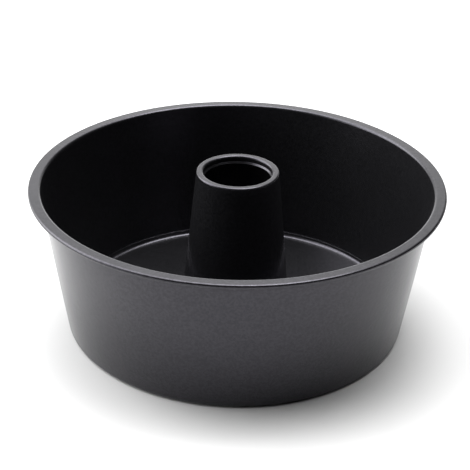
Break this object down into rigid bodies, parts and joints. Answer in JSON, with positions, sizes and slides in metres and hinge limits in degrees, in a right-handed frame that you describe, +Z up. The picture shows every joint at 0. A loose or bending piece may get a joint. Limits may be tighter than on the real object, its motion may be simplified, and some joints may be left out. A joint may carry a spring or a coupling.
{
  "type": "tube pan",
  "caption": "Plain round tube pan in coated sheet steel: leaning wall ring with a flat rolled rim, and a loose base plate with a conical centre tube that lifts out.",
  "frame": {"origin": "on the pan's axis, at the surface it stands on", "axes": "+Z up along the pan's axis of revolution; X and Y are free directions in the plane of the base"},
  "size_m": [0.25, 0.25, 0.0986],
  "materials": {
    "ring_coating": "satin dark grey non-stick coating with a fine grain",
    "insert_coating": "satin dark grey non-stick coating with a fine grain"
  },
  "bodies": {
    "ring": {"pan_ring": "ring_coating"},
    "insert": {"base_plate": "insert_coating", "centre_tube": "insert_coating"}
  },
  "joints": [
    {"name": "insert_lift", "type": "slide", "parent": "ring", "child": "insert", "axis": [0, 0, 1], "range_m": [0, 0.12]}
  ]
}
